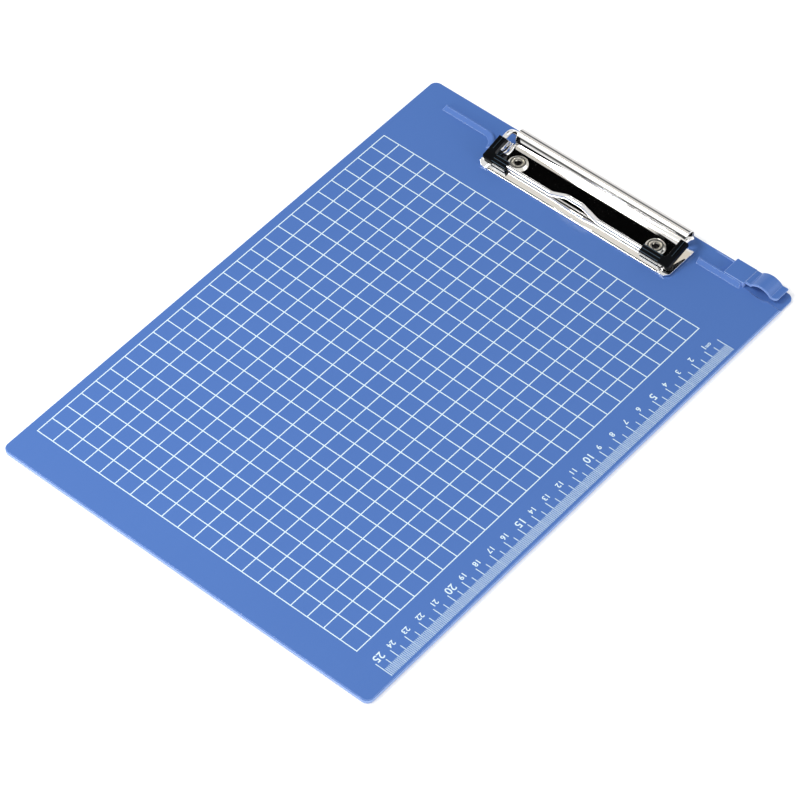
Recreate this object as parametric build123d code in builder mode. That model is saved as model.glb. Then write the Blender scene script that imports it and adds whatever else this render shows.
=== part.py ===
from build123d import *
import os

os.makedirs("parts", exist_ok=True)

# Clipboard with a wire-bail clip and a springing pen holder, in millimetres.
# +X is the board's width, +Y points to the clip, +Z is up out of the writing face.
# The origin is the middle of the board's underside.

# ---- board -----------------------------------------------------------------
board_width = 228.4
board_length = 314.6
board_thickness = 2.5
board_corner = 3.9
board_edge_bevel = 0.35

face = board_thickness
top_edge = board_length / 2
side_edge = board_width / 2

# ---- finger ridges beside the clip -----------------------------------------
ridge_height = 2.05
ridge_foot = 13.75  # from the top edge to where the ramp starts
ridge_ramp = 1.95
ridge_crest = 1.0
ridge_left_start = 16.5  # from the left edge of the board
ridge_left_length = 27.5
ridge_left_bend = 9.0  # plan radius of the turn towards the clip
ridge_right_start = 64.3  # from the middle of the board
ridge_end_gap = 0.8  # from the right ridge's end to the root of the pen clip
ridge_end_slope = 0.9
ridge_round = 0.35

# ---- pen holder ------------------------------------------------------------
pad_start = 34.8  # from the right edge of the board to the pad's free side
pen_root = 22.8  # from the right edge to the line where the clip springs
pad_height = 2.35
pad_front = 11.1  # from the top edge
pen_clip_front = 10.0  # from the top edge
pen_clip_sheet = 1.4
pen_clip_width = 19.0  # from the spring line to the tip of the lip
pen_arch_centre = 13.6  # from the right edge
pen_arch_radius = 7.0  # inside
pen_arch_rise = 3.8  # inside height above the writing face
pen_lip_rise = 0.1
pen_root_gap = 0.12
pen_corner = 2.4
pen_bevel = 0.25
groove_depth = 1.7
groove_shoulder = 0.6
groove_width = 11.0
groove_edge_drop = 1.4
groove_front = 11.05  # from the top edge to the foot of the ramp
slip_depth = 0.9  # the floor sinks by this much beside the pad
slip_length = 13.0
slip_rim = 1.1

# ---- clip base plate -------------------------------------------------------
sheet = 0.8
hood_end_gap = 2.7  # from each end of the hood to the middle of the bail's arm
hood_setback = 1.3  # from the top edge
hood_depth = 7.5
hood_height = 7.5
hood_lip_gap = 1.3
hood_round = 3.3
hood_foot_round = 0.9
plate_overhang = 3.5  # of the plate beyond the middle of the bail's arms
plate_depth = 29.9
jaw_height = 1.75
jaw_flange = 1.0
jaw_slope = 3.8
jaw_crest = 1.0
jaw_back = 1.2
jaw_round = 0.45
wing_width = 4.5
wing_rise = 0.8
wing_gap = 0.9  # from the hood's front wall to the rear end of the wings
wing_corner = 2.2
saddle_length = 3.0
saddle_wall = 0.7

# ---- bail ------------------------------------------------------------------
wire = 2.5
bail_spread = 113.0  # between the side arms
bail_shift = -0.5  # the bail sits a little left of the middle
bail_height = 3.8  # of the front bar over the writing face
arm_shoulder_height = 8.0
arm_shoulder = 4.5  # in front of the pivot
arm_bend = 5.0
leg_bend = 3.2
front_bend = 3.2
leg_inner_end = 8.0
hump_shift = -1.6  # the thumb hump sits a little left of the middle
hump_half = 14.5
hump_crest_half = 5.0
hump_height = 4.4
hump_bend = 6.5
pivot_height = 3.9
running_fit = 0.05

# ---- corner guards ---------------------------------------------------------
guard_width = 4.4
guard_height = 3.4
guard_under = 0.25  # wall below the wire
guard_front_leg_left = 14.4
guard_front_leg_right = 17.9
guard_front_reach = 2.9  # from the wire to the front face
guard_side_leg_left = 14.9
guard_side_leg_right = 17.1
guard_outer_round = 1.8
guard_inner_round = 1.2
guard_edge_round = 0.5
rib_pitch = 0.95
rib_groove = 0.42
rib_depth = 0.3
rib_inset = 0.8
ribs_per_leg = 3
ribs_in_front = 4

# ---- rivets ----------------------------------------------------------------
rivet_inset = 13.0  # from the middle of the bail's arm to the middle of the rivet
rivet_back = 18.8  # from the top edge
rivet_shift = -0.4  # the rivets sit a little left of the middle
rivet_shank = 4.4
rivet_hole = 3.0
rivet_rim = 5.2
rivet_rim_height = 0.6
rivet_rim_bevel = 0.3
rivet_foot = 7.6
rivet_foot_height = 0.5
rivet_foot_chamfer = 0.2
rivet_sink = 0.8
rivet_play = 0.1
washer_diameter = 10.6
washer_seat = 0.5  # height of the seat under the rivet's rim
washer_seat_diameter = 5.6
washer_crown = 1.3
washer_crown_diameter = 7.4
washer_crown_flat = 1.0
washer_rim = 0.35

# ---- places that follow from the sizes -------------------------------------
hood_width = bail_spread - hood_end_gap * 2
plate_width = bail_spread + plate_overhang * 2
hood_rear = top_edge - hood_setback
hood_front = hood_rear - hood_depth
plate_front = hood_rear - plate_depth
pivot_y = hood_rear - hood_depth / 2
pivot_z = face + pivot_height
jaw_crest_front = plate_front + jaw_flange + jaw_slope
bar_y = jaw_crest_front + jaw_crest / 2
bar_z = face + bail_height
arm_reach = bail_spread / 2
rivet_reach = arm_reach - rivet_inset
rivet_y = top_edge - rivet_back
wire_hole = wire / 2 + running_fit


def save(builder, name):
    """Label one finished piece and write it as a STEP file."""
    builder.part.label = name
    export_step(builder.part, f"parts/{name}.step")


# ---- board -----------------------------------------------------------------
ridge_toe = top_edge - ridge_foot
ridge_crest_front = ridge_toe + ridge_ramp
ridge_rear = ridge_crest_front + ridge_crest
ridge_left = -side_edge + ridge_left_start
ridge_turn = ridge_left + ridge_left_length
pad_left = side_edge - pad_start
pad_right = side_edge - pen_root
ridge_right_end = pad_right - ridge_end_gap
ridge_sink = board_thickness / 2
arch_x = side_edge - pen_arch_centre
groove_left = arch_x - groove_width / 2
groove_right = arch_x + groove_width / 2

# Section of both finger ridges, from its toe over the rounded crest to its rear foot.
ridge_outline = [
    (ridge_toe - ridge_ramp * ridge_sink / ridge_height, face - ridge_sink),
    (ridge_crest_front, face + ridge_height),
    (ridge_rear, face + ridge_height),
    (ridge_rear, face - ridge_sink),
]

with BuildPart() as board:
    with BuildSketch():
        RectangleRounded(board_width, board_length, board_corner)
    extrude(amount=board_thickness)
    chamfer(board.edges().group_by(Axis.Z)[-1], board_edge_bevel)
    chamfer(board.edges().group_by(Axis.Z)[0], board_edge_bevel)

    # Right finger ridge: a ramp that rises to a narrow crest and drops off at the back.
    with BuildSketch(Plane.YZ.offset(ridge_right_start)):
        with BuildLine():
            slope = FilletPolyline(*ridge_outline, radius=ridge_round)
            Line(slope @ 1, slope @ 0)
        make_face()
    extrude(amount=ridge_right_end - ridge_right_start)

    # Left finger ridge: the same section, turned towards the clip at its inner end.
    with BuildLine() as ridge_path:
        ridge_run = Line((ridge_left, ridge_rear, face), (ridge_turn, ridge_rear, face))
        RadiusArc(
            ridge_run @ 1,
            (ridge_turn + ridge_left_bend, ridge_rear - ridge_left_bend, face),
            ridge_left_bend,
        )
    with BuildSketch(Plane.YZ.offset(ridge_left)):
        with BuildLine():
            slope = FilletPolyline(*ridge_outline, radius=ridge_round)
            Line(slope @ 1, slope @ 0)
        make_face()
    sweep(path=ridge_path.wire())

    # The outer ends of both ridges slope down to the face.
    for ridge_end, inwards in ((ridge_left, 1), (ridge_right_end, -1)):
        with BuildSketch(Plane.XZ.offset(-(top_edge - pad_front))):
            with BuildLine():
                Polyline(
                    (ridge_end, face),
                    (ridge_end + inwards * ridge_end_slope, face + ridge_height),
                    (ridge_end + inwards * ridge_end_slope, face + ridge_height * 2),
                    (ridge_end - inwards * ridge_end_slope, face + ridge_height * 2),
                    (ridge_end - inwards * ridge_end_slope, face),
                    close=True,
                )
            make_face()
        extrude(amount=ridge_foot, both=True, mode=Mode.SUBTRACT)

    # Pad that carries the pen clip, level with the clip's flat root.
    with BuildSketch(Plane.XY.offset(face - ridge_sink)):
        with Locations(((pad_left + pad_right) / 2, top_edge - pad_front)):
            Rectangle(pad_right - pad_left, pad_front, align=(Align.CENTER, Align.MIN))
    extrude(amount=ridge_sink + pad_height)

    # The floor sinks towards the pad's free side and leaves a rim along the top edge.
    with BuildSketch(Plane.XZ.offset(-ridge_rear)):
        with BuildLine():
            Polyline(
                (pad_left - slip_length, face),
                (pad_left, face - slip_depth),
                (pad_left, face + slip_depth),
                (pad_left - slip_length, face + slip_depth),
                close=True,
            )
        make_face()
    extrude(amount=-(top_edge - slip_rim - ridge_rear), mode=Mode.SUBTRACT)

    # Pen channel: a round groove below the arch, with a ramp at its front end.
    with BuildSketch(Plane.XZ.offset(-(top_edge - groove_front))) as channel:
        with BuildLine():
            shoulder = Line(
                (pad_right, face - groove_shoulder), (groove_left, face - groove_shoulder)
            )
            bottom = ThreePointArc(
                shoulder @ 1,
                (arch_x, face - groove_depth),
                (groove_right, face - groove_shoulder),
            )
            Polyline(
                bottom @ 1,
                (side_edge, face - groove_edge_drop),
                (side_edge, face + pad_height),
                (pad_right, face + pad_height),
                shoulder @ 0,
            )
        make_face()
    extrude(amount=-groove_front, mode=Mode.SUBTRACT)
    extrude(
        channel.sketch,
        amount=groove_depth * 2,
        dir=(0, -1, 1),
        mode=Mode.SUBTRACT,
    )

    # Rivet holes, sunk at the back for the clenched feet.
    with Locations(Plane.XY.rotated((180, 0, 0))):
        with Locations(*[(rivet_shift + side * rivet_reach, -rivet_y) for side in (-1, 1)]):
            CounterBoreHole(
                rivet_shank / 2 + rivet_play,
                rivet_foot / 2 + rivet_play * 5,
                rivet_sink,
                board_thickness,
            )
save(board, "board")


# ---- pen clip --------------------------------------------------------------
arch_mid = pen_arch_radius + pen_clip_sheet / 2
arch_z = face + pen_arch_rise - pen_arch_radius
root_z = face + pad_height - pen_clip_sheet / 2
arch_reach = (arch_mid**2 - (root_z - arch_z) ** 2) ** 0.5

with BuildPart() as pen_clip:
    with BuildSketch(Plane.XZ.offset(-(top_edge - pen_clip_front))) as pen_section:
        with BuildLine():
            root = Line((pad_right, root_z), (arch_x - arch_reach, root_z))
            arch = ThreePointArc(
                root @ 1, (arch_x, arch_z + arch_mid), (arch_x + arch_reach, root_z)
            )
            Line(
                arch @ 1,
                (pad_right + pen_clip_width - pen_clip_sheet / 2, root_z + pen_lip_rise),
            )
            offset(amount=pen_clip_sheet / 2, side=Side.BOTH)
        make_face()
    extrude(amount=-pen_clip_front)
    split(bisect_by=Plane.YZ.offset(pad_right + pen_root_gap), keep=Keep.TOP)
    # Both long rims are bevelled, and the lip's front corner is round.
    for rim in (pen_clip.faces().sort_by(Axis.Y)[0], pen_clip.faces().sort_by(Axis.Y)[-1]):
        chamfer(rim.edges().sort_by(Axis.X)[1:], pen_bevel)
    with BuildSketch(Plane.XY.offset(face)):
        with BuildLine():
            corner_x = pad_right + pen_clip_width
            corner_y = top_edge - pen_clip_front
            Line((corner_x - pen_corner, corner_y), (corner_x, corner_y))
            Line((corner_x, corner_y), (corner_x, corner_y + pen_corner))
            RadiusArc(
                (corner_x, corner_y + pen_corner), (corner_x - pen_corner, corner_y), pen_corner
            )
        make_face()
    extrude(amount=pad_height * 2, mode=Mode.SUBTRACT)
save(pen_clip, "pen_clip")


# ---- clip base plate -------------------------------------------------------
wing_start = plate_width / 2 - wing_width
wing_rear = hood_front - wing_gap
jaw_end = hood_width / 2
jaw_toe = plate_front + jaw_flange
jaw_heel = jaw_crest_front + jaw_crest + jaw_back

with BuildPart() as base_plate:
    # One strip of sheet, bent along its depth: front flange, jaw, floor and rolled hood.
    with BuildSketch(Plane.YZ.offset(-hood_width / 2)):
        with BuildLine():
            FilletPolyline(
                (plate_front + sheet / 2, face + sheet / 2),
                (jaw_toe, face + sheet / 2),
                (jaw_crest_front, face + jaw_height - sheet / 2),
                (jaw_crest_front + jaw_crest, face + jaw_height - sheet / 2),
                (jaw_heel, face + sheet / 2),
                (hood_rear - sheet / 2, face + sheet / 2),
                (hood_rear - sheet / 2, face + hood_height - sheet / 2),
                (hood_front + sheet / 2, face + hood_height - sheet / 2),
                (hood_front + sheet / 2, face + hood_lip_gap),
                radius=[jaw_round] * 4 + [hood_foot_round, hood_round, hood_round],
            )
            offset(amount=sheet / 2, side=Side.BOTH)
        make_face()
    extrude(amount=hood_width)

    # Each end of the sheet: a flat border and a wing turned up a little, with the corner cut off.
    for side in (-1, 1):
        with BuildSketch(Plane.XZ.offset(-plate_front)):
            with BuildLine():
                Polyline(
                    (side * (jaw_end - sheet), face),
                    (side * wing_start, face),
                    (side * plate_width / 2, face + wing_rise),
                    (side * plate_width / 2, face + wing_rise + sheet),
                    (side * wing_start, face + sheet),
                    (side * (jaw_end - sheet), face + sheet),
                    close=True,
                )
            make_face()
        extrude(amount=-(wing_rear - plate_front))
        with BuildSketch(Plane.XY.offset(face)):
            with BuildLine():
                Polyline(
                    (side * (plate_width / 2 - wing_corner), plate_front),
                    (side * plate_width / 2, plate_front),
                    (side * plate_width / 2, plate_front + wing_corner),
                    close=True,
                )
            make_face()
        extrude(amount=wing_rise + sheet, mode=Mode.SUBTRACT)

        # Closed end of the pressed jaw, sloping down to the border.
        with BuildSketch(Plane.YZ.offset(side * (jaw_end - sheet))):
            with BuildLine():
                Polyline(
                    (jaw_toe, face),
                    (jaw_crest_front, face + jaw_height - sheet / 4),
                    (jaw_crest_front + jaw_crest, face + jaw_height - sheet / 4),
                    (jaw_heel, face),
                    close=True,
                )
            make_face()
        with BuildSketch(Plane.YZ.offset(side * wing_start)):
            with BuildLine():
                Polyline(
                    (jaw_toe + sheet, face),
                    (jaw_toe + sheet * 2, face + sheet),
                    (jaw_heel - sheet * 2, face + sheet),
                    (jaw_heel - sheet, face),
                    close=True,
                )
            make_face()
        loft()

        # Saddles pressed up inside the hood: they carry the legs of the bail.
        saddle_end = jaw_end - saddle_length
        for saddle_x in (saddle_end, leg_inner_end + saddle_length):
            with BuildSketch(Plane.YZ.offset(side * saddle_x)):
                with BuildLine():
                    Polyline(
                        (pivot_y - wire_hole - saddle_wall, face),
                        (pivot_y - wire_hole - saddle_wall, pivot_z),
                        (pivot_y + wire_hole + saddle_wall, pivot_z),
                        (pivot_y + wire_hole + saddle_wall, face),
                        close=True,
                    )
                make_face()
                with Locations((pivot_y, pivot_z)):
                    Circle(wire_hole, mode=Mode.SUBTRACT)
            extrude(amount=saddle_length / 2, both=True)

    # Holes for the two rivets.
    with BuildSketch(Plane.XY.offset(face)):
        with Locations(*[(rivet_shift + side * rivet_reach, rivet_y) for side in (-1, 1)]):
            Circle(rivet_shank / 2 + rivet_play)
    extrude(amount=sheet, mode=Mode.SUBTRACT)
save(base_plate, "base_plate")


# ---- wire bail -------------------------------------------------------------
shoulder_y = pivot_y - arm_shoulder
shoulder_z = face + arm_shoulder_height


def bail_half(side):
    """Corner points of one half of the bail, from the end of its leg to the hump's crest."""
    arm_x = bail_shift + side * arm_reach
    return [
        (side * leg_inner_end, pivot_y, pivot_z),
        (arm_x, pivot_y, pivot_z),
        (arm_x, shoulder_y, shoulder_z),
        (arm_x, bar_y, bar_z),
        (bail_shift + hump_shift + side * hump_half, bar_y, bar_z),
        (bail_shift + hump_shift + side * hump_crest_half, bar_y, bar_z + hump_height),
    ]


half_bends = [leg_bend, arm_bend, front_bend, hump_bend, hump_bend]

with BuildPart() as wire_bail:
    with BuildLine() as bail_path:
        FilletPolyline(
            *bail_half(1), *reversed(bail_half(-1)), radius=half_bends + half_bends[::-1]
        )
    with BuildSketch(Plane(origin=(leg_inner_end, pivot_y, pivot_z), z_dir=(1, 0, 0))):
        Circle(wire / 2)
    sweep(path=bail_path.wire())
save(wire_bail, "wire_bail")


# ---- corner guards ---------------------------------------------------------
# The side arms rise from the bar to their shoulders, so the guards lie in a tilted plane.
bail_plane = Plane(
    origin=(bail_shift, bar_y, bar_z),
    x_dir=(1, 0, 0),
    z_dir=(0, bar_z - shoulder_z, shoulder_y - bar_y),
)
guard_floor = bail_plane.offset(-wire / 2 - guard_under)
guard_top = guard_floor.offset(guard_height)
guard_half = guard_width / 2
guard_axis = Axis(guard_floor.origin, guard_floor.z_dir)
guard_outside = arm_reach + guard_half
guard_inside = arm_reach - guard_half
guard_middle = (guard_half - guard_front_reach) / 2
rib_first = -rib_pitch * (ribs_per_leg - 1) / 2
front_rib_first = guard_middle - rib_pitch * (ribs_in_front - 1) / 2
rib_corner = guard_inner_round + rib_inset


def guard(side, front_leg, side_leg):
    """Black L-shaped sleeve round one front corner of the bail: side is -1 or 1."""
    front_end = guard_outside - front_leg
    side_end = side_leg - guard_front_reach
    with BuildPart() as sleeve:
        with BuildSketch(guard_floor):
            with BuildLine():
                FilletPolyline(
                    (side * front_end, -guard_front_reach),
                    (side * guard_outside, -guard_front_reach),
                    (side * guard_outside, side_end),
                    radius=guard_outer_round,
                )
                Line((side * guard_outside, side_end), (side * guard_inside, side_end))
                FilletPolyline(
                    (side * guard_inside, side_end),
                    (side * guard_inside, guard_half),
                    (side * front_end, guard_half),
                    radius=guard_inner_round,
                )
                Line((side * front_end, guard_half), (side * front_end, -guard_front_reach))
            make_face()
        extrude(amount=guard_height)
        fillet(sleeve.faces().sort_by(guard_axis)[-1].edges(), guard_edge_round)
        fillet(sleeve.faces().sort_by(guard_axis)[0].edges(), guard_edge_round)

        # Lengthwise grooves along the top of both legs leave a ribbed grip.
        side_groove_y = (guard_half + rib_corner + side_end) / 2
        with BuildSketch(guard_top):
            for index in range(ribs_in_front):
                step = front_rib_first + index * rib_pitch
                with Locations((side * (front_end + guard_inside - rib_corner) / 2, step)):
                    Rectangle(guard_inside - rib_corner - front_end, rib_groove)
            for index in range(ribs_per_leg):
                step = rib_first + index * rib_pitch
                with Locations((side * (arm_reach + step), side_groove_y)):
                    Rectangle(rib_groove, side_end - guard_half - rib_corner)
        extrude(amount=-rib_depth, mode=Mode.SUBTRACT)

        # Bore for the wire, following its bend.
        with BuildLine(bail_plane) as bore_path:
            FilletPolyline(
                (side * (front_end - wire), 0),
                (side * arm_reach, 0),
                (side * arm_reach, side_end + wire),
                radius=front_bend,
            )
        with BuildSketch(
            Plane(origin=(bail_shift + side * (front_end - wire), bar_y, bar_z), z_dir=(side, 0, 0))
        ):
            Circle(wire_hole)
        sweep(path=bore_path.wire(), mode=Mode.SUBTRACT)
    return sleeve


save(guard(-1, guard_front_leg_left, guard_side_leg_left), "guard_left")
save(guard(1, guard_front_leg_right, guard_side_leg_right), "guard_right")


# ---- rivets and washers ----------------------------------------------------
washer_z = face + sheet
rim_z = washer_z + washer_seat
foot_z = rivet_sink - rivet_foot_height


def rivet_plane(side):
    """Upright plane through the axis of the left (-1) or right (1) rivet."""
    return Plane(
        origin=(rivet_shift + side * rivet_reach, rivet_y, 0), x_dir=(1, 0, 0), z_dir=(0, -1, 0)
    )


def washer(side):
    """Wide crowned washer between a rivet's rolled rim and the base plate."""
    with BuildPart() as ring:
        with BuildSketch(rivet_plane(side)):
            with BuildLine():
                Polyline(
                    (rivet_shank / 2 + rivet_play, washer_z),
                    (washer_diameter / 2, washer_z),
                    (washer_diameter / 2, washer_z + washer_rim),
                    (washer_crown_diameter / 2 + washer_crown_flat / 2, washer_z + washer_crown),
                    (washer_crown_diameter / 2 - washer_crown_flat / 2, washer_z + washer_crown),
                    (washer_seat_diameter / 2, rim_z),
                    (rivet_shank / 2 + rivet_play, rim_z),
                    close=True,
                )
            make_face()
        revolve(axis=Axis((rivet_shift + side * rivet_reach, rivet_y, 0), (0, 0, 1)))
    return ring


def rivet(side):
    """Tubular rivet: rolled rim on the washer, tube through all sheets, clenched foot."""
    with BuildPart() as tube:
        with BuildSketch(rivet_plane(side)):
            with BuildLine():
                Polyline(
                    (rivet_hole / 2, foot_z),
                    (rivet_foot / 2 - rivet_foot_chamfer, foot_z),
                    (rivet_foot / 2, foot_z + rivet_foot_chamfer),
                    (rivet_foot / 2, rivet_sink),
                    (rivet_shank / 2, rivet_sink),
                    (rivet_shank / 2, rim_z),
                    (rivet_rim / 2, rim_z),
                    (rivet_rim / 2 - rivet_rim_bevel / 2, rim_z + rivet_rim_height / 2),
                    (rivet_rim / 2 - rivet_rim_bevel, rim_z + rivet_rim_height),
                    (rivet_hole / 2 + rivet_rim_bevel, rim_z + rivet_rim_height),
                    (rivet_hole / 2, rim_z),
                    close=True,
                )
            make_face()
        revolve(axis=Axis((rivet_shift + side * rivet_reach, rivet_y, 0), (0, 0, 1)))
    return tube


save(washer(-1), "washer_left")
save(washer(1), "washer_right")
save(rivet(-1), "rivet_left")
save(rivet(1), "rivet_right")
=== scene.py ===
import bpy
from mathutils import Matrix, Vector


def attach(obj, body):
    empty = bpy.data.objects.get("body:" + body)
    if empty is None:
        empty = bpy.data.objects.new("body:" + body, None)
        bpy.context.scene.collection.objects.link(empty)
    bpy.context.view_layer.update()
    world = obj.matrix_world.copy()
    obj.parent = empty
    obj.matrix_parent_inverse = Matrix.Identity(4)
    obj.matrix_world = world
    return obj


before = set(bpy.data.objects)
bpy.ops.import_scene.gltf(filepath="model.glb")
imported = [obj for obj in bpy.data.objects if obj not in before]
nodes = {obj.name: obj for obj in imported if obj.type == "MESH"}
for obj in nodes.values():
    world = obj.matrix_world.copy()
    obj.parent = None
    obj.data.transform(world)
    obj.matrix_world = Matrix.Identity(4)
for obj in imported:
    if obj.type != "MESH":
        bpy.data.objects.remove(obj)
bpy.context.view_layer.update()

MM = 0.001
FACE_Z = 2.5 * MM
RIVET_XS = (-43.9 * MM, 43.1 * MM)
RIVET_Y = 138.5 * MM
QUARTER_TURN = 1.5707963
FULL_TURN = 6.2831853

# ---------------------------------------------------------------- camera
CAMERA_LENS = 175.22
CAMERA_SENSOR = 36.0
CAMERA_NEAR = 0.05
CAMERA_FAR = 20.0
CAMERA_PLACE = (0.79932, -0.89488, 1.41939)
CAMERA_RIGHT = (0.757997, 0.652033, -0.017102)
CAMERA_UP = (-0.492553, 0.589394, 0.640317)
CAMERA_BACK = (0.427587, -0.476935, 0.767921)


def add_camera():
    camera_data = bpy.data.cameras.new("camera")
    camera_data.lens = CAMERA_LENS
    camera_data.sensor_width = CAMERA_SENSOR
    camera_data.clip_start = CAMERA_NEAR
    camera_data.clip_end = CAMERA_FAR
    camera = bpy.data.objects.new("camera", camera_data)
    bpy.context.scene.collection.objects.link(camera)
    turn = Matrix((CAMERA_RIGHT, CAMERA_UP, CAMERA_BACK)).transposed()
    camera.matrix_world = Matrix.Translation(CAMERA_PLACE) @ turn.to_4x4()
    bpy.context.scene.camera = camera


add_camera()
bpy.context.scene.view_settings.view_transform = "Standard"

# ---------------------------------------------------------------- node helpers
FLOAT, COLOUR, VECTOR = "NodeSocketFloat", "NodeSocketColor", "NodeSocketVector"


def feed(tree, socket, value):
    """Link an output socket to this input, or set the input to a plain value."""
    if isinstance(value, bpy.types.NodeSocket):
        tree.links.new(value, socket)
    else:
        socket.default_value = value


def add_node(tree, kind, **settings):
    """Add one shader node; settings name its properties, or what goes into its input sockets."""
    node = tree.nodes.new(kind)
    for key, value in settings.items():
        if hasattr(node, key):
            setattr(node, key, value)
        else:
            feed(tree, node.inputs[key.replace("_", " ")], value)
    return node


def new_group(name, inputs, outputs):
    """Empty shader node group with sockets (name, kind, default): the tree, what comes in, what goes out."""
    group = bpy.data.node_groups.new(name, "ShaderNodeTree")
    for socket, kind, default in inputs:
        made = group.interface.new_socket(socket, in_out="INPUT", socket_type=kind)
        made.default_value = default
    for socket, kind in outputs:
        group.interface.new_socket(socket, in_out="OUTPUT", socket_type=kind)
    entry = group.nodes.new("NodeGroupInput")
    result = group.nodes.new("NodeGroupOutput")
    return group, entry.outputs, result.inputs


def place_group(tree, group, **values):
    node = tree.nodes.new("ShaderNodeGroup")
    node.node_tree = group
    for key, value in values.items():
        feed(tree, node.inputs[key.replace("_", " ")], value)
    return node


def new_material(name):
    material = bpy.data.materials.new(name)
    material.use_nodes = True
    tree = material.node_tree
    tree.nodes.clear()
    shader = tree.nodes.new("ShaderNodeBsdfPrincipled")
    output = tree.nodes.new("ShaderNodeOutputMaterial")
    feed(tree, output.inputs["Surface"], shader.outputs["BSDF"])
    return material, tree, shader


def math_node(tree, operation, *terms, clamp=False):
    """One math node; each term is a number or the output socket that feeds it."""
    node = add_node(tree, "ShaderNodeMath", operation=operation, use_clamp=clamp)
    for socket, term in zip(node.inputs, terms):
        feed(tree, socket, term)
    return node.outputs[0]


def vector_node(tree, operation, *terms, output="Vector"):
    """One vector math node; output is Value for a length or a dot product."""
    node = add_node(tree, "ShaderNodeVectorMath", operation=operation)
    for socket, term in zip(node.inputs, terms):
        feed(tree, socket, term)
    return node.outputs[output]


def fade(tree, value, start, end, low=0.0, high=1.0, curve="LINEAR"):
    """Runs from low to high while the value goes from start to end, and holds beyond them."""
    node = add_node(tree, "ShaderNodeMapRange", interpolation_type=curve, Value=value)
    for socket, limit in (("From Min", start), ("From Max", end), ("To Min", low), ("To Max", high)):
        feed(tree, node.inputs[socket], limit)
    return node.outputs["Result"]


def mix_colour(tree, share, first, second):
    """The first colour where share is 0, the second where it is 1."""
    node = add_node(tree, "ShaderNodeMix", data_type="RGBA")
    # Colour mixing has its own sockets: 6 and 7 for the colours and 2 for the result.
    for socket, value in ((0, share), (6, first), (7, second)):
        feed(tree, node.inputs[socket], value)
    return node.outputs[2]


def noise_node(tree, place, scale, **settings):
    node = add_node(tree, "ShaderNodeTexNoise", Vector=place, Scale=scale, **settings)
    return node.outputs["Fac"]


def object_place(tree):
    return tree.nodes.new("ShaderNodeTexCoord").outputs["Object"]


def axes_of(tree, vector):
    """The x, y and z of a vector, one socket each."""
    return add_node(tree, "ShaderNodeSeparateXYZ", Vector=vector).outputs


# ---------------------------------------------------------------- shared effects
CLOUD_RANGE = (0.35, 0.65)
MARKS_RANGE = (0.12, 0.42)
FINE_GRAIN_SHARE = 0.5


def make_cloudiness():
    """Broad soft patches: two depths of the same colour, mixed by slow noise."""
    group, given, made = new_group(
        "cloudiness",
        [
            ("Colour", COLOUR, (0.5, 0.5, 0.5, 1)),
            ("Deeper Colour", COLOUR, (0.4, 0.4, 0.4, 1)),
            ("Patch Scale", FLOAT, 12.0),
            ("Amount", FLOAT, 0.3),
        ],
        [("Colour", COLOUR), ("Mask", FLOAT)],
    )
    noise = noise_node(group, object_place(group), given["Patch Scale"], Detail=3.0, Roughness=0.55)
    mask = fade(group, noise, *CLOUD_RANGE)
    share = math_node(group, "MULTIPLY", mask, given["Amount"])
    feed(group, made["Colour"], mix_colour(group, share, given["Colour"], given["Deeper Colour"]))
    feed(group, made["Mask"], mask)
    return group


def make_moulded_grain():
    """Fine leathery grain of moulded plastic, as a height."""
    group, given, made = new_group(
        "moulded_grain",
        [("Grain Scale", FLOAT, 1500.0), ("Fine Scale", FLOAT, 5200.0)],
        [("Height", FLOAT)],
    )
    place = object_place(group)
    cells = add_node(
        group, "ShaderNodeTexVoronoi", feature="SMOOTH_F1", Vector=place, Scale=given["Grain Scale"]
    )
    fine = noise_node(group, place, given["Fine Scale"], Detail=2.0)
    height = math_node(group, "MULTIPLY_ADD", fine, FINE_GRAIN_SHARE, cells.outputs["Distance"])
    feed(group, made["Height"], height)
    return group


def make_handling_marks():
    """Faint rubbed patches and hairline scuffs, as a mask from 0 to 1."""
    group, given, made = new_group(
        "handling_marks",
        [
            ("Patch Scale", FLOAT, 30.0),
            ("Scuff Scale", FLOAT, 400.0),
            ("Scuff Direction", VECTOR, (1.0, 0.04, 1.0)),
        ],
        [("Mask", FLOAT)],
    )
    place = object_place(group)
    patches = noise_node(group, place, given["Patch Scale"], Detail=4.0)
    stretched = vector_node(group, "MULTIPLY", place, given["Scuff Direction"])
    scuffs = noise_node(group, stretched, given["Scuff Scale"], Detail=2.0)
    both = math_node(group, "MULTIPLY", patches, scuffs)
    feed(group, made["Mask"], fade(group, both, *MARKS_RANGE))
    return group


EDGE_SAMPLES = 8
# An edge is where the eased normal leaves the true one: the cosine of the angle between them falls.
NO_EDGE_COSINE = 0.985
FULL_EDGE_COSINE = 0.95
# A hollow corner is no edge: within the reach, only a smaller share of the space round it is open.
HOLLOW_REACH = 0.8 * MM
HOLLOW_SHARE = 0.80
OPEN_SHARE = 0.92


def make_rounded_edges():
    """Eases sharp edges to a small radius: the new normal, and a mask of the outer edges."""
    group, given, made = new_group(
        "rounded_edges",
        [("Radius", FLOAT, 0.0002)],
        [("Normal", VECTOR), ("Edge", FLOAT)],
    )
    bevel = add_node(group, "ShaderNodeBevel", samples=EDGE_SAMPLES, Radius=given["Radius"])
    eased = bevel.outputs["Normal"]
    feed(group, made["Normal"], eased)
    true_normal = group.nodes.new("ShaderNodeNewGeometry").outputs["Normal"]
    likeness = vector_node(group, "DOT_PRODUCT", eased, true_normal, output="Value")
    edge = fade(group, likeness, NO_EDGE_COSINE, FULL_EDGE_COSINE)
    openness = add_node(
        group,
        "ShaderNodeAmbientOcclusion",
        samples=EDGE_SAMPLES,
        only_local=True,
        Distance=HOLLOW_REACH,
    )
    outer = fade(group, openness.outputs["AO"], HOLLOW_SHARE, OPEN_SHARE)
    feed(group, made["Edge"], math_node(group, "MULTIPLY", edge, outer))
    return group


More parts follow.
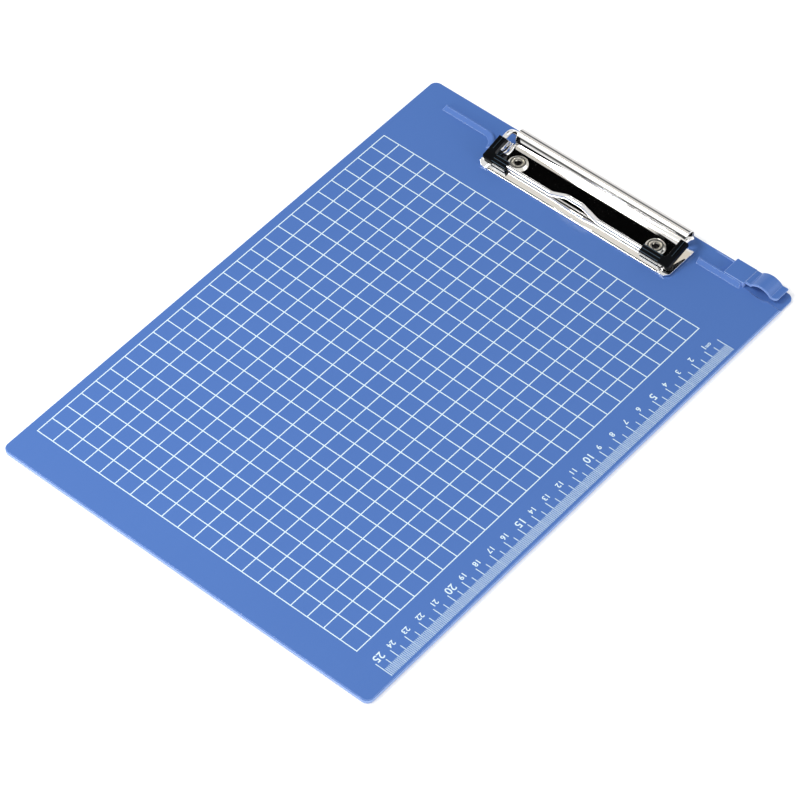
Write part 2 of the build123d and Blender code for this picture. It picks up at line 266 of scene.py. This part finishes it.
RIM_EASED_ON_RIGHT = 0.45  # share of the rim's slope that the right end lacks
RIM_FADE = 1.0 * MM
HOOD_MARGIN = 0.1 * MM
WAVE_SCALE = 55.0


def make_pressed_sheet():
    """Height of thin pressed sheet: rim rolled down, foot bent up, crease in the hood, slow waves."""
    group, given, made = new_group(
        "pressed_sheet",
        [
            ("Rim Y", FLOAT, 0.1),
            ("Rim Depth", FLOAT, 0.002),
            ("Rim Slope", FLOAT, 0.4),
            ("Rim Inner X", FLOAT, 0.05),
            ("Foot Y", FLOAT, 0.1),
            ("Foot Depth", FLOAT, 0.004),
            ("Foot Slope", FLOAT, 0.2),
            ("Foot Start X", FLOAT, -0.02),
            ("Foot Full X", FLOAT, 0.06),
            ("Crease Z", FLOAT, 0.008),
            ("Crease Depth", FLOAT, 0.003),
            ("Crease Round", FLOAT, 0.002),
            ("Crease Slope", FLOAT, 0.7),
            ("Crease Left X", FLOAT, -0.054),
            ("Crease Right X", FLOAT, -0.012),
            ("Wave Height", FLOAT, 0.00001),
        ],
        [("Height", FLOAT)],
    )
    place = object_place(group)
    x, y, z = axes_of(group, place)

    def math(operation, *terms, clamp=False):
        return math_node(group, operation, *terms, clamp=clamp)

    def bend(reach, depth, slope):
        """Parabola that starts where reach passes 0 and has the given slope at the depth."""
        inside = math("MAXIMUM", reach, 0.0)
        squared = math("MULTIPLY", inside, inside)
        return math("DIVIDE", math("MULTIPLY", squared, slope), math("MULTIPLY", depth, 2.0))

    # Rim: a slope down to the front edge, on both ends of the plate.
    rim_end = math("ADD", given["Rim Y"], given["Rim Depth"])
    before_rim_end = math("MAXIMUM", math("SUBTRACT", rim_end, y), 0.0)
    on_right = math("GREATER_THAN", x, 0.0)
    eased = math("SUBTRACT", 1.0, math("MULTIPLY", on_right, RIM_EASED_ON_RIGHT))
    rim = math("MULTIPLY", before_rim_end, math("MULTIPLY", given["Rim Slope"], eased))
    outside = math("SUBTRACT", math("ABSOLUTE", x), given["Rim Inner X"])
    rim = math("MULTIPLY", rim, math("DIVIDE", outside, RIM_FADE, clamp=True))

    # Foot: the floor curves up towards the hood, more and more to the right.
    foot_start = math("SUBTRACT", given["Foot Y"], given["Foot Depth"])
    foot_run = math("SUBTRACT", given["Foot Full X"], given["Foot Start X"])
    grown = math("DIVIDE", math("SUBTRACT", x, given["Foot Start X"]), foot_run, clamp=True)
    late = math("MULTIPLY", math("SUBTRACT", 1.0, grown), given["Foot Depth"])
    before_hood = math("SUBTRACT", math("MINIMUM", y, given["Foot Y"]), foot_start)
    foot = bend(math("SUBTRACT", before_hood, late), given["Foot Depth"], given["Foot Slope"])

    # Crease: the hood's front swells out below a line, less and less towards the right.
    crease_run = math("SUBTRACT", given["Crease Right X"], given["Crease Left X"])
    leftward = math("SUBTRACT", given["Crease Right X"], x)
    leftward = math("DIVIDE", leftward, crease_run, clamp=True)
    taper = math("MULTIPLY", leftward, math("SUBTRACT", 2.0, leftward))
    below = math("MAXIMUM", math("SUBTRACT", given["Crease Z"], z), 0.0)
    below = math("MINIMUM", below, math("MULTIPLY", taper, given["Crease Depth"]))
    rounded = math("MINIMUM", below, given["Crease Round"])
    turn = bend(rounded, given["Crease Round"], given["Crease Slope"])
    straight = math("MULTIPLY", math("SUBTRACT", below, rounded), given["Crease Slope"])
    in_hood = math("GREATER_THAN", y, math("SUBTRACT", given["Foot Y"], HOOD_MARGIN))
    crease = math("MULTIPLY", math("ADD", turn, straight), in_hood)

    noise = noise_node(group, place, WAVE_SCALE, Detail=1.0)
    waves = math("MULTIPLY", noise, given["Wave Height"])
    height = math("ADD", math("ADD", math("SUBTRACT", foot, rim), crease), waves)
    feed(group, made["Height"], height)
    return group


RIB_SIDE_FADE = 0.2 * MM
RIB_END_FADE = 0.4 * MM
CREST_SHARPNESS = 20.0


def make_grip_ribs():
    """Rounded parallel ribs along both legs of a corner guard: height, and a crest mask for a painted
    highlight.
    """
    group, given, made = new_group(
        "grip_ribs",
        [
            ("Front Middle Y", FLOAT, 0.13),
            ("Front Half Width", FLOAT, 0.002),
            ("Arm Middle X", FLOAT, 0.05),
            ("Side Half Width", FLOAT, 0.002),
            ("Shift X", FLOAT, 0.0),
            ("Corner", FLOAT, 0.004),
            ("Pitch", FLOAT, 0.001),
            ("Depth", FLOAT, 0.0001),
        ],
        [("Height", FLOAT), ("Crest", FLOAT)],
    )
    x, y, _ = axes_of(group, object_place(group))

    def math(operation, *terms, clamp=False):
        return math_node(group, operation, *terms, clamp=clamp)

    def ribs(across, half_width, along):
        """Waves across one leg, faded out at the corner and outside the leg."""
        turn = math("MULTIPLY", math("DIVIDE", across, given["Pitch"]), FULL_TURN)
        wave = math("MULTIPLY_ADD", math("COSINE", turn), 0.5, 0.5)
        inside = math("SUBTRACT", half_width, math("ABSOLUTE", across))
        inside = math("DIVIDE", inside, RIB_SIDE_FADE, clamp=True)
        past_corner = math("SUBTRACT", along, given["Corner"])
        clear = math("DIVIDE", past_corner, RIB_END_FADE, clamp=True)
        return math("MULTIPLY", math("MULTIPLY", wave, inside), clear)

    from_middle = math("ABSOLUTE", math("SUBTRACT", x, given["Shift X"]))
    across_side = math("SUBTRACT", from_middle, given["Arm Middle X"])
    across_front = math("SUBTRACT", y, given["Front Middle Y"])
    inward = math("MULTIPLY", across_side, -1.0)
    front = ribs(across_front, given["Front Half Width"], inward)
    side = ribs(across_side, given["Side Half Width"], across_front)
    both = math("MAXIMUM", front, side)
    feed(group, made["Height"], math("MULTIPLY", both, given["Depth"]))
    # Crest mask, for the painted highlight along the rib crests.
    feed(group, made["Crest"], math("POWER", both, CREST_SHARPNESS))
    return group


cloudiness = make_cloudiness()
grip_ribs = make_grip_ribs()
rounded_edges = make_rounded_edges()
pressed_sheet = make_pressed_sheet()
moulded_grain = make_moulded_grain()
handling_marks = make_handling_marks()


def cloudy_tint(tree, colour, deeper, patch_scale, amount):
    return place_group(
        tree,
        cloudiness,
        Colour=(*colour, 1),
        Deeper_Colour=(*deeper, 1),
        Patch_Scale=patch_scale,
        Amount=amount,
    )


def roughness_from(tree, shader, mask, low, high):
    feed(tree, shader.inputs["Roughness"], fade(tree, mask, 0.0, 1.0, low, high))


def worn_roughness(tree, shader, patch_scale, scuff_scale, low, high):
    """Roughness from low to high by the handling marks."""
    marks = place_group(tree, handling_marks, Patch_Scale=patch_scale, Scuff_Scale=scuff_scale)
    roughness_from(tree, shader, marks.outputs["Mask"], low, high)


def bump_from(tree, shader, height, strength, distance, edge_radius):
    """Bump over eased edges; gives back the mask of the edges."""
    eased = place_group(tree, rounded_edges, Radius=edge_radius)
    bump = add_node(
        tree,
        "ShaderNodeBump",
        Strength=strength,
        Distance=distance,
        Height=height,
        Normal=eased.outputs["Normal"],
    )
    feed(tree, shader.inputs["Normal"], bump.outputs["Normal"])
    return eased.outputs["Edge"]


def bump_true_height(tree, shader, height, edge_radius):
    """Bump by a height that is in metres already."""
    bump_from(tree, shader, height, strength=1.0, distance=1.0, edge_radius=edge_radius)


# ---------------------------------------------------------------- materials
# Painted highlight: this light blue is mixed into the board's colour along outer edges and on steep faces.
PAINTED_HIGHLIGHT_BLUE = (0.36, 0.52, 0.92, 1)
# A steep face's normal lies low: its z where the painted side light starts, and where it is full.
SIDE_START = 0.5
SIDE_FULL = 0.2
PAINTED_EDGE_HIGHLIGHT = 0.75
PAINTED_SIDE_LIGHT = 0.8


def make_board_plastic():
    """Blue plastic with a painted highlight along its outer edges and painted light on its steep faces."""
    material, tree, shader = new_material("blue_board_plastic")
    tint = cloudy_tint(
        tree, (0.092, 0.200, 0.535), (0.086, 0.188, 0.510), patch_scale=9.0, amount=0.5
    )
    worn_roughness(tree, shader, patch_scale=22.0, scuff_scale=260.0, low=0.21, high=0.17)
    grain = place_group(tree, moulded_grain, Grain_Scale=1400.0, Fine_Scale=4200.0)
    edge = bump_from(
        tree,
        shader,
        grain.outputs["Height"],
        strength=0.06,
        distance=0.03 * MM,
        edge_radius=0.45 * MM,
    )
    _, _, upward = axes_of(tree, tree.nodes.new("ShaderNodeTexCoord").outputs["Normal"])
    steep = fade(tree, math_node(tree, "ABSOLUTE", upward), SIDE_START, SIDE_FULL)
    # Painted highlight on the outer edges and painted light on the steep faces, both as a lighter colour.
    painted_edge_highlight = math_node(tree, "MULTIPLY", edge, PAINTED_EDGE_HIGHLIGHT)
    painted_side_light = math_node(tree, "MULTIPLY", steep, PAINTED_SIDE_LIGHT)
    light = math_node(tree, "MAXIMUM", painted_edge_highlight, painted_side_light)
    colour = mix_colour(tree, light, tint.outputs["Colour"], PAINTED_HIGHLIGHT_BLUE)
    feed(tree, shader.inputs["Base Color"], colour)
    shader.inputs["IOR"].default_value = 1.49
    shader.inputs["Specular IOR Level"].default_value = 0.34
    return material


def make_printing_ink():
    material, tree, shader = new_material("white_printing_ink")
    tint = cloudy_tint(tree, (0.77, 0.93, 1.0), (0.73, 0.90, 0.98), patch_scale=900.0, amount=0.4)
    feed(tree, shader.inputs["Base Color"], tint.outputs["Colour"])
    roughness_from(tree, shader, tint.outputs["Mask"], low=0.42, high=0.52)
    return material


def make_bright_chrome(name, roughness, sheet=None):
    """Bright plating; sheet holds the values of the pressed sheet's bends."""
    material, tree, shader = new_material(name)
    low, high = roughness
    tint = cloudy_tint(tree, (0.90, 0.89, 0.875), (0.86, 0.855, 0.85), patch_scale=60.0, amount=0.5)
    feed(tree, shader.inputs["Base Color"], tint.outputs["Colour"])
    worn_roughness(tree, shader, patch_scale=60.0, scuff_scale=900.0, low=low, high=high)
    shader.inputs["Metallic"].default_value = 1.0
    if sheet:
        pressed = place_group(tree, pressed_sheet, **sheet)
        bump_true_height(tree, shader, pressed.outputs["Height"], edge_radius=0.2 * MM)
    return material


def new_satin_metal(name, colour, deeper):
    """Satin steel whose colour is not joined yet: its material, tree, shader and tint."""
    material, tree, shader = new_material(name)
    tint = cloudy_tint(tree, colour, deeper, patch_scale=300.0, amount=0.5)
    worn_roughness(tree, shader, patch_scale=250.0, scuff_scale=2500.0, low=0.2, high=0.27)
    shader.inputs["Metallic"].default_value = 1.0
    return material, tree, shader, tint.outputs["Colour"]


def make_satin_steel():
    material, tree, shader, tint = new_satin_metal(
        "satin_nickel_steel", (0.93, 0.91, 0.84), (0.86, 0.83, 0.76)
    )
    feed(tree, shader.inputs["Base Color"], tint)
    return material


# Painted shade: within the first radius of a rivet's axis the bore is near black, and it fades out by the
# second.
DARK_BORE_RADIUS = 1.55 * MM
BORE_SHADE_END_RADIUS = 1.75 * MM


def make_rivet_steel():
    """Satin steel with painted shade in its bore: the rivets' own axes set the mask."""
    material, tree, shader, tint = new_satin_metal(
        "riveted_satin_steel", (0.92, 0.90, 0.85), (0.84, 0.82, 0.77)
    )
    place = object_place(tree)
    reaches = []
    for x in RIVET_XS:
        apart = vector_node(tree, "SUBTRACT", place, (x, RIVET_Y, 0))
        flat = vector_node(tree, "MULTIPLY", apart, (1, 1, 0))
        reaches.append(vector_node(tree, "LENGTH", flat, output="Value"))
    nearest = math_node(tree, "MINIMUM", *reaches)
    outside_bore_shade = fade(tree, nearest, DARK_BORE_RADIUS, BORE_SHADE_END_RADIUS)
    # Painted shade: the bore is coloured near black, fading to the steel's colour outward.
    feed(tree, shader.inputs["Base Color"], mix_colour(tree, outside_bore_shade, (0.012, 0.011, 0.010, 1), tint))
    return material


def make_black_plastic():
    material, tree, shader = new_material("black_guard_plastic")
    tint = cloudy_tint(
        tree, (0.0015, 0.002, 0.003), (0.003, 0.004, 0.006), patch_scale=200.0, amount=0.6
    )
    ribs = place_group(
        tree,
        grip_ribs,
        Front_Middle_Y=130.7 * MM,
        Front_Half_Width=2.5 * MM,
        Arm_Middle_X=56.5 * MM,
        Side_Half_Width=1.7 * MM,
        Shift_X=-0.5 * MM,
        Corner=3.6 * MM,
        Pitch=1.9 * MM,
        Depth=0.08 * MM,
    )
    # Painted highlight: the rib crests are coloured bluish grey where glossy ribs would catch the light.
    painted_crest_highlight = mix_colour(tree, ribs.outputs["Crest"], tint.outputs["Colour"], (0.07, 0.11, 0.15, 1))
    feed(tree, shader.inputs["Base Color"], painted_crest_highlight)
    worn_roughness(tree, shader, patch_scale=150.0, scuff_scale=1500.0, low=0.16, high=0.24)
    bump_true_height(tree, shader, ribs.outputs["Height"], edge_radius=0.15 * MM)
    shader.inputs["IOR"].default_value = 1.46
    shader.inputs["Specular IOR Level"].default_value = 0.06
    return material


board_plastic = make_board_plastic()
printing_ink = make_printing_ink()
wire_chrome = make_bright_chrome("bright_chrome_wire", (0.11, 0.17))
sheet_chrome = make_bright_chrome(
    "bright_chrome_sheet",
    (0.04, 0.09),
    {
        "Rim_Y": 126.1 * MM,
        "Rim_Depth": 4.0 * MM,
        "Rim_Slope": 0.5,
        "Rim_Inner_X": 53.4 * MM,
        "Foot_Y": 148.5 * MM,
        "Foot_Depth": 4.2 * MM,
        "Foot_Slope": 0.32,
        "Foot_Start_X": -20 * MM,
        "Foot_Full_X": 60 * MM,
        "Crease_Z": 8.53 * MM,
        "Crease_Depth": 4.4 * MM,
        "Crease_Round": 2.03 * MM,
        "Crease_Slope": 0.713,
        "Crease_Left_X": -48 * MM,
        "Crease_Right_X": -6 * MM,
        "Wave_Height": 0.002 * MM,
    },
)
satin_steel = make_satin_steel()
rivet_steel = make_rivet_steel()
black_plastic = make_black_plastic()

FINISHES = {
    "board": board_plastic,
    "pen_clip": board_plastic,
    "base_plate": sheet_chrome,
    "wire_bail": wire_chrome,
    "guard_left": black_plastic,
    "guard_right": black_plastic,
    "washer_left": satin_steel,
    "washer_right": satin_steel,
    "rivet_left": rivet_steel,
    "rivet_right": rivet_steel,
}
for name, finish in FINISHES.items():
    nodes[name].data.materials.clear()
    nodes[name].data.materials.append(finish)


# ---------------------------------------------------------------- printing on the face
INK_TOP = FACE_Z + 0.02 * MM
INK_FOOT = FACE_Z - 0.05 * MM
# The rest of the print is in millimetres, across and along the board from its middle. The ruler and
# its numerals keep their distance from the grid's left line.
GRID_LEFT = -108.6
GRID_TOP = 111.15
GRID_CELL = 10.0
GRID_COLUMNS = 20
GRID_ROWS = 25
GRID_LINE = 0.54
RULER_END_X = 221.0 + GRID_LEFT
TICK_LENGTHS = {"centimetre": 9.9, "half": 8.1, "millimetre": 4.95}
TICK_WIDTHS = {"centimetre": 0.42, "half": 0.38, "millimetre": 0.34}
NUMERAL_FOOT_X = 207.85 + GRID_LEFT
NUMERAL_PAST_TICK = 0.85
NUMERAL_SIZE = 4.1
FIFTH_NUMERAL_SIZE = 5.7
NUMERAL_WEIGHT = 0.07
LETTER_ROUNDNESS = 6
UNIT_SIZE = 2.9
UNIT_WEIGHT = 0.05
UNIT_RAISE = 1.35
UNIT_PAST_TICK = 2.75


def add_print(name, points, faces):
    """One printed piece that rides on the board."""
    mesh = bpy.data.meshes.new(name)
    mesh.from_pydata(points, [], faces)
    mesh.validate()
    mesh.materials.append(printing_ink)
    piece = bpy.data.objects.new(name, mesh)
    bpy.context.scene.collection.objects.link(piece)
    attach(piece, "board")


def add_film(name, vertices, faces):
    """Closed thin film of ink from flat outline faces: vertices are (x, y) in millimetres."""
    count = len(vertices)
    points = [(x * MM, y * MM, z) for z in (INK_TOP, INK_FOOT) for x, y in vertices]
    film = [tuple(face) for face in faces]
    film += [tuple(i + count for i in reversed(face)) for face in faces]
    edges = dict.fromkeys((a, b) for face in faces for a, b in zip(face, face[1:] + face[:1]))
    film += [(b, a, a + count, b + count) for a, b in edges if (b, a) not in edges]
    add_print(name, points, film)


def print_grid():
    """Centimetre grid as one lattice: cells are left open, lines share their crossings."""
    half = GRID_LINE / 2
    xs = [
        GRID_LEFT + column * GRID_CELL + offset
        for column in range(GRID_COLUMNS + 1)
        for offset in (-half, half)
    ]
    ys = [
        GRID_TOP - row * GRID_CELL + offset
        for row in range(GRID_ROWS + 1)
        for offset in (half, -half)
    ]
    vertices = [(x, y) for y in ys for x in xs]
    across = len(xs)
    faces = []
    for row in range(len(ys) - 1):
        for column in range(across - 1):
            if row % 2 == 0 or column % 2 == 0:
                corner = row * across + column
                faces.append([corner, corner + across, corner + across + 1, corner + 1])
    add_film("printed_grid", vertices, faces)


def tick_kind(step):
    """Kind of the tick that stands this many millimetres from the ruler's start."""
    if step % 10 == 0:
        return "centimetre"
    return "half" if step % 5 == 0 else "millimetre"


def print_ruler_ticks():
    vertices, faces = [], []
    for step in range(int(GRID_ROWS * GRID_CELL) + 1):
        kind = tick_kind(step)
        start = RULER_END_X - TICK_LENGTHS[kind]
        low = GRID_TOP - step - TICK_WIDTHS[kind] / 2
        high = GRID_TOP - step + TICK_WIDTHS[kind] / 2
        first = len(vertices)
        vertices += [(start, low), (RULER_END_X, low), (RULER_END_X, high), (start, high)]
        faces.append([first, first + 1, first + 2, first + 3])
    add_film("ruler_ticks", vertices, faces)


def letter(text, size, foot_x, end_y, weight):
    """Closed film of lettering that reads down the board and ends at end_y."""
    curve = bpy.data.curves.new(text, "FONT")
    curve.body = text
    curve.size = size * MM
    curve.align_x = "RIGHT"
    curve.offset = weight * MM
    curve.extrude = (INK_TOP - INK_FOOT) / 2
    curve.resolution_u = LETTER_ROUNDNESS
    lettering = bpy.data.objects.new(text, curve)
    middle = (foot_x * MM, end_y * MM, (INK_TOP + INK_FOOT) / 2)
    lettering.matrix_world = Matrix.Translation(middle) @ Matrix.Rotation(-QUARTER_TURN, 4, "Z")
    bpy.context.scene.collection.objects.link(lettering)
    bpy.context.view_layer.update()
    mesh = bpy.data.meshes.new_from_object(
        lettering.evaluated_get(bpy.context.evaluated_depsgraph_get())
    )
    mesh.transform(lettering.matrix_world)
    bpy.data.objects.remove(lettering)
    return mesh


def print_numerals():
    meshes = []
    for number in range(1, GRID_ROWS + 1):
        size = FIFTH_NUMERAL_SIZE if number % 5 == 0 else NUMERAL_SIZE
        end_y = GRID_TOP - number * GRID_CELL + NUMERAL_PAST_TICK
        meshes.append(letter(str(number), size, NUMERAL_FOOT_X, end_y, NUMERAL_WEIGHT))
    unit_y = GRID_TOP - GRID_CELL + UNIT_PAST_TICK
    meshes.append(letter("cm", UNIT_SIZE, NUMERAL_FOOT_X + UNIT_RAISE, unit_y, UNIT_WEIGHT))
    points, faces = [], []
    for mesh in meshes:
        first = len(points)
        points += [tuple(vertex.co) for vertex in mesh.vertices]
        faces += [tuple(i + first for i in face.vertices) for face in mesh.polygons]
        bpy.data.meshes.remove(mesh)
    add_print("ruler_numerals", points, faces)


print_grid()
print_ruler_ticks()
print_numerals()


# ---------------------------------------------------------------- floor
FLOOR_HALF = 6.0
FLOOR_DROP = 0.2 * MM
FLOOR_GLOW = 0.35


def make_floor():
    """Matt pale floor that is a little brighter to the camera and in reflections."""
    material = bpy.data.materials.new("pale_floor")
    material.use_nodes = True
    tree = material.node_tree
    tree.nodes.clear()
    output = tree.nodes.new("ShaderNodeOutputMaterial")
    matt = add_node(tree, "ShaderNodeBsdfDiffuse", Color=(0.9, 0.9, 0.9, 1))
    glow = add_node(tree, "ShaderNodeEmission", Color=(1, 1, 1, 1), Strength=FLOOR_GLOW)
    dark = add_node(tree, "ShaderNodeEmission", Color=(0, 0, 0, 1), Strength=0.0)
    path = tree.nodes.new("ShaderNodeLightPath").outputs
    seen = math_node(tree, "MAXIMUM", path["Is Camera Ray"], path["Is Glossy Ray"])
    choose = tree.nodes.new("ShaderNodeMixShader")
    for socket, value in zip(choose.inputs, (seen, dark.outputs[0], glow.outputs[0])):
        feed(tree, socket, value)
    total = tree.nodes.new("ShaderNodeAddShader")
    feed(tree, total.inputs[0], matt.outputs[0])
    feed(tree, total.inputs[1], choose.outputs[0])
    feed(tree, output.inputs["Surface"], total.outputs[0])
    mesh = bpy.data.meshes.new("floor")
    corners = ((-1, -1), (1, -1), (1, 1), (-1, 1))
    mesh.from_pydata([(x * FLOOR_HALF, y * FLOOR_HALF, 0) for x, y in corners], [], [(0, 1, 2, 3)])
    mesh.materials.append(material)
    floor = bpy.data.objects.new("floor", mesh)
    floor.location.z = -FLOOR_DROP
    bpy.context.scene.collection.objects.link(floor)


make_floor()


# ---------------------------------------------------------------- studio
ROOM = (0.53, 0.53, 0.53, 1)
SURROUND = (0.82, 0.82, 0.82, 1)
# Cards and dark gaps that only reflections see: direction, squash, inner and outer radius, colour.
STUDIO_CARDS = [
    ((-0.43, 0.06, 0.90), (1, 1, 1), 0.12, 0.22, (0.80, 0.77, 0.71, 1)),
    ((-0.72, 0.46, 0.53), (1, 1, 1), 0.14, 0.26, (0.74, 0.68, 0.58, 1)),
    ((0.62, 0.48, 0.61), (1, 1, 1), 0.20, 0.32, (2.2, 2.3, 2.5, 1)),
    ((-0.14, 0.48, 0.87), (1, 1, 1), 0.12, 0.18, (0.004, 0.004, 0.004, 1)),
    ((-0.414, 0.536, 0.736), (1, 1, 1), 0.17, 0.24, (0.001, 0.001, 0.001, 1)),
    ((-0.43, -0.70, 0.57), (0.6, 1, 1), 0.20, 0.30, (1.05, 1.05, 1.04, 1)),
    ((-0.43, -0.883, 0.187), (0.45, 1, 1), 0.12, 0.17, (0.010, 0.010, 0.012, 1)),
]
# Place, aim, width, depth, power, and whether reflections see it.
SOFTBOXES = {
    "key_softbox": ((-0.43, -0.36, 0.83), (0, 0.03, 0), 0.36, 0.36, 5.0, True),
    "front_fill": ((-0.10, -0.90, 0.33), (0, 0.10, 0), 0.5, 0.3, 2.4, False),
    "side_fill": ((0.90, 0.05, 0.13), (0, 0, 0), 0.2, 0.6, 2.6, False),
}


def add_softbox(name, place, aim, width, depth, power, reflected):
    light = bpy.data.lights.new(name, "AREA")
    light.shape = "RECTANGLE"
    light.size = width
    light.size_y = depth
    light.energy = power
    lamp = bpy.data.objects.new(name, light)
    lamp.location = place
    lamp.rotation_euler = (Vector(aim) - Vector(place)).to_track_quat("-Z", "Y").to_euler()
    lamp.visible_glossy = reflected
    bpy.context.scene.collection.objects.link(lamp)


def make_card():
    """One card or gap of the studio: blends a colour into the surround about a direction."""
    group, given, made = new_group(
        "studio_card",
        [
            ("Surround", COLOUR, (0.6, 0.6, 0.6, 1)),
            ("Card", COLOUR, (1, 1, 1, 1)),
            ("Direction", VECTOR, (0, 0, 1)),
            ("Centre", VECTOR, (0, 0, 1)),
            ("Squash", VECTOR, (1, 1, 1)),
            ("Inner", FLOAT, 0.1),
            ("Outer", FLOAT, 0.2),
        ],
        [("Colour", COLOUR)],
    )
    apart = vector_node(group, "SUBTRACT", given["Direction"], given["Centre"])
    squashed = vector_node(group, "MULTIPLY", apart, given["Squash"])
    distance = vector_node(group, "LENGTH", squashed, output="Value")
    share = fade(group, distance, given["Outer"], given["Inner"], curve="SMOOTHSTEP")
    feed(group, made["Colour"], mix_colour(group, share, given["Surround"], given["Card"]))
    return group


def make_studio_world():
    """Pale room; reflections see it brighter, with the cards and dark gaps in it."""
    card = make_card()
    world = bpy.data.worlds.new("studio")
    bpy.context.scene.world = world
    world.use_nodes = True
    tree = world.node_tree
    tree.nodes.clear()
    output = tree.nodes.new("ShaderNodeOutputWorld")
    place = tree.nodes.new("ShaderNodeTexCoord").outputs["Generated"]
    direction = vector_node(tree, "NORMALIZE", place)
    colour = SURROUND
    for centre, squash, inner, outer, card_colour in STUDIO_CARDS:
        placed = place_group(
            tree,
            card,
            Surround=colour,
            Card=card_colour,
            Direction=direction,
            Centre=centre,
            Squash=squash,
            Inner=inner,
            Outer=outer,
        )
        colour = placed.outputs["Colour"]
    glossy = tree.nodes.new("ShaderNodeLightPath").outputs["Is Glossy Ray"]
    room = mix_colour(tree, glossy, ROOM, colour)
    sky = add_node(tree, "ShaderNodeBackground", Color=room, Strength=1.0)
    feed(tree, output.inputs["Surface"], sky.outputs[0])


make_studio_world()
for name, settings in SOFTBOXES.items():
    add_softbox(name, *settings)
